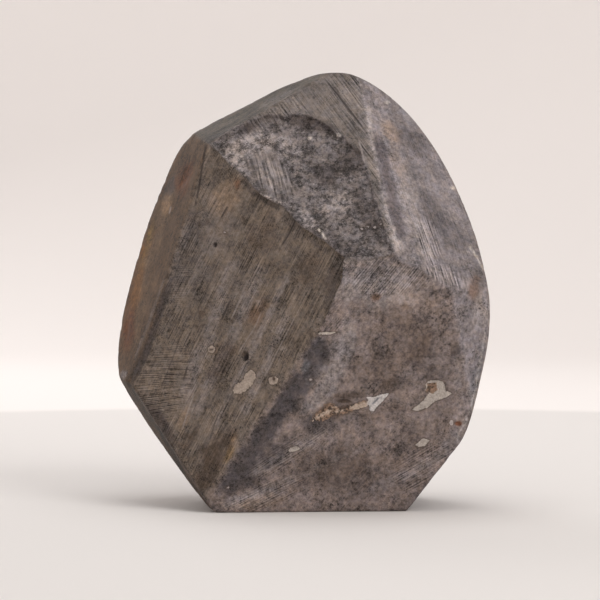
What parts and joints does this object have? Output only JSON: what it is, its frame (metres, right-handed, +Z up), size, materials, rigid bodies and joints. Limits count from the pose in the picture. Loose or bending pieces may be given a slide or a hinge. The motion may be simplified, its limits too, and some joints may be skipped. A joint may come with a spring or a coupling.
{
  "type": "black amethyst freeform",
  "caption": "Standing freeform of dark amethyst with a sawn flat base, sawn facets, a ragged ledge and a bruised patch.",
  "frame": {"origin": "under the middle of the stone's box, on the plane of its sawn flat base", "axes": "+Z up the tall way of the stone; -Y out of the sawn front that the picture shows; +X to the right seen from the front"},
  "size_m": [0.1282, 0.0724, 0.15],
  "materials": {
    "stone": "dull sawn and ground stone"
  },
  "bodies": {
    "root": {"amethyst_stone": "stone"}
  },
  "joints": []
}
